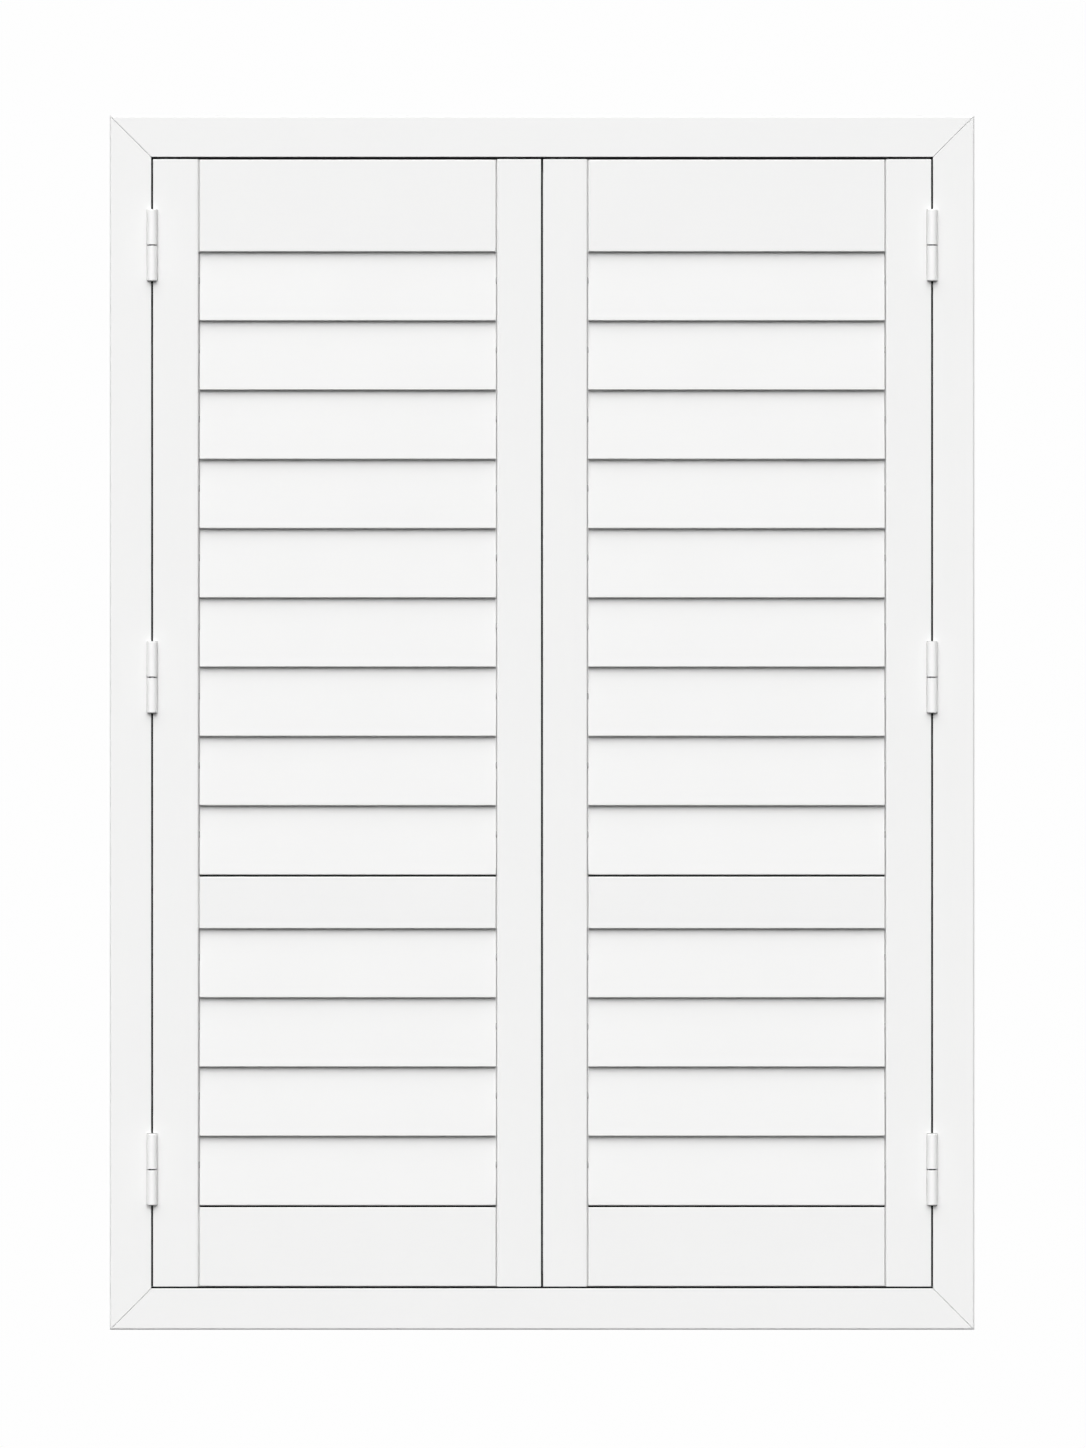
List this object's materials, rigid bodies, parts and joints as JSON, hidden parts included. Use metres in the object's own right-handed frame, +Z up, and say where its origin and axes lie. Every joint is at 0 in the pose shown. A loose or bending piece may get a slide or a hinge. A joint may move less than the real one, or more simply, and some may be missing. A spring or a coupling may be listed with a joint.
{
  "type": "louvred shutters",
  "caption": "Pair of white louvred shutter panels hung on barrel hinges in a mitred frame, with louvres that tilt together on hidden rear bars.",
  "frame": {"origin": "centre of the four fixing holes, on the back plane of the frame", "axes": "+Z up, +X to the viewer's right seen from the room, +Y out of the back plane towards the window"},
  "size_m": [0.951, 0.0677, 1.3358],
  "materials": {
    "frame": "satin white paint on timber",
    "panels": "satin white paint on timber",
    "louvres": "satin white paint on timber",
    "hinges": "white powder coat",
    "hinge_pins": "turned steel",
    "screws": "bright zinc plate",
    "pivots": "moulded white nylon",
    "tilt_bars": "white coated aluminium",
    "seal": "matt black strip",
    "magnets": "nickel plate",
    "strikes": "zinc plate",
    "keys": "black moulded plastic"
  },
  "bodies": {
    "frame": {"frame_head": "frame", "frame_hinge_leaves": "hinges", "frame_hinge_screws": "screws", "frame_sill": "frame", "hinge_pins": "hinge_pins", "left_jamb": "frame", "magnet_catches": "magnets", "mitre_keys": "keys", "perimeter_seal": "seal", "right_jamb": "frame"},
    "left_panel": {"left_bottom_rail": "panels", "left_hinge_leaves": "hinges", "left_hinge_screws": "screws", "left_hinge_stile": "panels", "left_louvre_pins": "pivots", "left_meeting_seal": "seal", "left_meeting_stile": "panels", "left_mid_rail": "panels", "left_strike_plates": "strikes", "left_top_rail": "panels"},
    "right_panel": {"right_bottom_rail": "panels", "right_hinge_leaves": "hinges", "right_hinge_screws": "screws", "right_hinge_stile": "panels", "right_louvre_pins": "pivots", "right_meeting_stile": "panels", "right_mid_rail": "panels", "right_strike_plates": "strikes", "right_top_rail": "panels"},
    "left_louvre_01": {"left_louvre_01": "louvres"},
    "left_louvre_02": {"left_louvre_02": "louvres"},
    "left_louvre_03": {"left_louvre_03": "louvres"},
    "left_louvre_04": {"left_louvre_04": "louvres"},
    "left_louvre_05": {"left_louvre_05": "louvres"},
    "left_louvre_06": {"left_louvre_06": "louvres"},
    "left_louvre_07": {"left_louvre_07": "louvres"},
    "left_louvre_08": {"left_louvre_08": "louvres"},
    "left_louvre_09": {"left_louvre_09": "louvres"},
    "left_louvre_10": {"left_louvre_10": "louvres"},
    "left_louvre_11": {"left_louvre_11": "louvres"},
    "left_louvre_12": {"left_louvre_12": "louvres"},
    "left_louvre_13": {"left_louvre_13": "louvres"},
    "left_lower_tilt_bar": {"left_lower_tilt_bar": "tilt_bars"},
    "left_upper_tilt_bar": {"left_upper_tilt_bar": "tilt_bars"},
    "right_louvre_01": {"right_louvre_01": "louvres"},
    "right_louvre_02": {"right_louvre_02": "louvres"},
    "right_louvre_03": {"right_louvre_03": "louvres"},
    "right_louvre_04": {"right_louvre_04": "louvres"},
    "right_louvre_05": {"right_louvre_05": "louvres"},
    "right_louvre_06": {"right_louvre_06": "louvres"},
    "right_louvre_07": {"right_louvre_07": "louvres"},
    "right_louvre_08": {"right_louvre_08": "louvres"},
    "right_louvre_09": {"right_louvre_09": "louvres"},
    "right_louvre_10": {"right_louvre_10": "louvres"},
    "right_louvre_11": {"right_louvre_11": "louvres"},
    "right_louvre_12": {"right_louvre_12": "louvres"},
    "right_louvre_13": {"right_louvre_13": "louvres"},
    "right_lower_tilt_bar": {"right_lower_tilt_bar": "tilt_bars"},
    "right_upper_tilt_bar": {"right_upper_tilt_bar": "tilt_bars"}
  },
  "joints": [
    {"name": "left_panel_hinge", "type": "hinge", "parent": "frame", "child": "left_panel", "pos_m": [-0.429, -0.062, 0], "axis": [0, 0, -1], "range_deg": [0, 180]},
    {"name": "left_louvre_01_tilt", "type": "hinge", "parent": "left_panel", "child": "left_louvre_01", "pos_m": [-0.21388, -0.0524, 0.4864], "axis": [-1, 0, 0], "range_deg": [0, 145]},
    {"name": "left_louvre_02_tilt", "type": "hinge", "parent": "left_panel", "child": "left_louvre_02", "pos_m": [-0.21388, -0.0524, 0.4102], "axis": [-1, 0, 0], "range_deg": [0, 145]},
    {"name": "left_louvre_03_tilt", "type": "hinge", "parent": "left_panel", "child": "left_louvre_03", "pos_m": [-0.21388, -0.0524, 0.334], "axis": [-1, 0, 0], "range_deg": [0, 145]},
    {"name": "left_louvre_04_tilt", "type": "hinge", "parent": "left_panel", "child": "left_louvre_04", "pos_m": [-0.21388, -0.0524, 0.2578], "axis": [-1, 0, 0], "range_deg": [0, 145]},
    {"name": "left_louvre_05_tilt", "type": "hinge", "parent": "left_panel", "child": "left_louvre_05", "pos_m": [-0.21388, -0.0524, 0.1816], "axis": [-1, 0, 0], "range_deg": [0, 145]},
    {"name": "left_louvre_06_tilt", "type": "hinge", "parent": "left_panel", "child": "left_louvre_06", "pos_m": [-0.21388, -0.0524, 0.1054], "axis": [-1, 0, 0], "range_deg": [0, 145]},
    {"name": "left_louvre_07_tilt", "type": "hinge", "parent": "left_panel", "child": "left_louvre_07", "pos_m": [-0.21388, -0.0524, 0.0292], "axis": [-1, 0, 0], "range_deg": [0, 145]},
    {"name": "left_louvre_08_tilt", "type": "hinge", "parent": "left_panel", "child": "left_louvre_08", "pos_m": [-0.21388, -0.0524, -0.047], "axis": [-1, 0, 0], "range_deg": [0, 145]},
    {"name": "left_louvre_09_tilt", "type": "hinge", "parent": "left_panel", "child": "left_louvre_09", "pos_m": [-0.21388, -0.0524, -0.1232], "axis": [-1, 0, 0], "range_deg": [0, 145]},
    {"name": "left_upper_tilt_bar_link", "type": "hinge", "parent": "left_louvre_01", "child": "left_upper_tilt_bar", "pos_m": [-0.3418, -0.04806, 0.52617], "axis": [-1, 0, 0], "range_deg": [-145, 0]},
    {"name": "left_louvre_10_tilt", "type": "hinge", "parent": "left_panel", "child": "left_louvre_10", "pos_m": [-0.21388, -0.0524, -0.2583], "axis": [-1, 0, 0], "range_deg": [0, 145]},
    {"name": "left_louvre_11_tilt", "type": "hinge", "parent": "left_panel", "child": "left_louvre_11", "pos_m": [-0.21388, -0.0524, -0.3345], "axis": [-1, 0, 0], "range_deg": [0, 145]},
    {"name": "left_louvre_12_tilt", "type": "hinge", "parent": "left_panel", "child": "left_louvre_12", "pos_m": [-0.21388, -0.0524, -0.4107], "axis": [-1, 0, 0], "range_deg": [0, 145]},
    {"name": "left_louvre_13_tilt", "type": "hinge", "parent": "left_panel", "child": "left_louvre_13", "pos_m": [-0.21388, -0.0524, -0.4869], "axis": [-1, 0, 0], "range_deg": [0, 145]},
    {"name": "left_lower_tilt_bar_link", "type": "hinge", "parent": "left_louvre_10", "child": "left_lower_tilt_bar", "pos_m": [-0.3418, -0.04806, -0.21853], "axis": [-1, 0, 0], "range_deg": [-145, 0]},
    {"name": "right_panel_hinge", "type": "hinge", "parent": "frame", "child": "right_panel", "pos_m": [0.429, -0.062, 0], "axis": [0, 0, 1], "range_deg": [0, 180]},
    {"name": "right_louvre_01_tilt", "type": "hinge", "parent": "right_panel", "child": "right_louvre_01", "pos_m": [0.21388, -0.0524, 0.4864], "axis": [-1, 0, 0], "range_deg": [0, 145]},
    {"name": "right_louvre_02_tilt", "type": "hinge", "parent": "right_panel", "child": "right_louvre_02", "pos_m": [0.21388, -0.0524, 0.4102], "axis": [-1, 0, 0], "range_deg": [0, 145]},
    {"name": "right_louvre_03_tilt", "type": "hinge", "parent": "right_panel", "child": "right_louvre_03", "pos_m": [0.21388, -0.0524, 0.334], "axis": [-1, 0, 0], "range_deg": [0, 145]},
    {"name": "right_louvre_04_tilt", "type": "hinge", "parent": "right_panel", "child": "right_louvre_04", "pos_m": [0.21388, -0.0524, 0.2578], "axis": [-1, 0, 0], "range_deg": [0, 145]},
    {"name": "right_louvre_05_tilt", "type": "hinge", "parent": "right_panel", "child": "right_louvre_05", "pos_m": [0.21388, -0.0524, 0.1816], "axis": [-1, 0, 0], "range_deg": [0, 145]},
    {"name": "right_louvre_06_tilt", "type": "hinge", "parent": "right_panel", "child": "right_louvre_06", "pos_m": [0.21388, -0.0524, 0.1054], "axis": [-1, 0, 0], "range_deg": [0, 145]},
    {"name": "right_louvre_07_tilt", "type": "hinge", "parent": "right_panel", "child": "right_louvre_07", "pos_m": [0.21388, -0.0524, 0.0292], "axis": [-1, 0, 0], "range_deg": [0, 145]},
    {"name": "right_louvre_08_tilt", "type": "hinge", "parent": "right_panel", "child": "right_louvre_08", "pos_m": [0.21388, -0.0524, -0.047], "axis": [-1, 0, 0], "range_deg": [0, 145]},
    {"name": "right_louvre_09_tilt", "type": "hinge", "parent": "right_panel", "child": "right_louvre_09", "pos_m": [0.21388, -0.0524, -0.1232], "axis": [-1, 0, 0], "range_deg": [0, 145]},
    {"name": "right_upper_tilt_bar_link", "type": "hinge", "parent": "right_louvre_01", "child": "right_upper_tilt_bar", "pos_m": [0.3418, -0.04806, 0.52617], "axis": [-1, 0, 0], "range_deg": [-145, 0]},
    {"name": "right_louvre_10_tilt", "type": "hinge", "parent": "right_panel", "child": "right_louvre_10", "pos_m": [0.21388, -0.0524, -0.2583], "axis": [-1, 0, 0], "range_deg": [0, 145]},
    {"name": "right_louvre_11_tilt", "type": "hinge", "parent": "right_panel", "child": "right_louvre_11", "pos_m": [0.21388, -0.0524, -0.3345], "axis": [-1, 0, 0], "range_deg": [0, 145]},
    {"name": "right_louvre_12_tilt", "type": "hinge", "parent": "right_panel", "child": "right_louvre_12", "pos_m": [0.21388, -0.0524, -0.4107], "axis": [-1, 0, 0], "range_deg": [0, 145]},
    {"name": "right_louvre_13_tilt", "type": "hinge", "parent": "right_panel", "child": "right_louvre_13", "pos_m": [0.21388, -0.0524, -0.4869], "axis": [-1, 0, 0], "range_deg": [0, 145]},
    {"name": "right_lower_tilt_bar_link", "type": "hinge", "parent": "right_louvre_10", "child": "right_lower_tilt_bar", "pos_m": [0.3418, -0.04806, -0.21853], "axis": [-1, 0, 0], "range_deg": [-145, 0]}
  ],
  "couplings": [
    {"joint": "left_louvre_02_tilt", "follows": "left_louvre_01_tilt", "ratio": 1},
    {"joint": "left_louvre_03_tilt", "follows": "left_louvre_01_tilt", "ratio": 1},
    {"joint": "left_louvre_04_tilt", "follows": "left_louvre_01_tilt", "ratio": 1},
    {"joint": "left_louvre_05_tilt", "follows": "left_louvre_01_tilt", "ratio": 1},
    {"joint": "left_louvre_06_tilt", "follows": "left_louvre_01_tilt", "ratio": 1},
    {"joint": "left_louvre_07_tilt", "follows": "left_louvre_01_tilt", "ratio": 1},
    {"joint": "left_louvre_08_tilt", "follows": "left_louvre_01_tilt", "ratio": 1},
    {"joint": "left_louvre_09_tilt", "follows": "left_louvre_01_tilt", "ratio": 1},
    {"joint": "left_upper_tilt_bar_link", "follows": "left_louvre_01_tilt", "ratio": -1},
    {"joint": "left_louvre_11_tilt", "follows": "left_louvre_10_tilt", "ratio": 1},
    {"joint": "left_louvre_12_tilt", "follows": "left_louvre_10_tilt", "ratio": 1},
    {"joint": "left_louvre_13_tilt", "follows": "left_louvre_10_tilt", "ratio": 1},
    {"joint": "left_lower_tilt_bar_link", "follows": "left_louvre_10_tilt", "ratio": -1},
    {"joint": "right_louvre_02_tilt", "follows": "right_louvre_01_tilt", "ratio": 1},
    {"joint": "right_louvre_03_tilt", "follows": "right_louvre_01_tilt", "ratio": 1},
    {"joint": "right_louvre_04_tilt", "follows": "right_louvre_01_tilt", "ratio": 1},
    {"joint": "right_louvre_05_tilt", "follows": "right_louvre_01_tilt", "ratio": 1},
    {"joint": "right_louvre_06_tilt", "follows": "right_louvre_01_tilt", "ratio": 1},
    {"joint": "right_louvre_07_tilt", "follows": "right_louvre_01_tilt", "ratio": 1},
    {"joint": "right_louvre_08_tilt", "follows": "right_louvre_01_tilt", "ratio": 1},
    {"joint": "right_louvre_09_tilt", "follows": "right_louvre_01_tilt", "ratio": 1},
    {"joint": "right_upper_tilt_bar_link", "follows": "right_louvre_01_tilt", "ratio": -1},
    {"joint": "right_louvre_11_tilt", "follows": "right_louvre_10_tilt", "ratio": 1},
    {"joint": "right_louvre_12_tilt", "follows": "right_louvre_10_tilt", "ratio": 1},
    {"joint": "right_louvre_13_tilt", "follows": "right_louvre_10_tilt", "ratio": 1},
    {"joint": "right_lower_tilt_bar_link", "follows": "right_louvre_10_tilt", "ratio": -1}
  ]
}
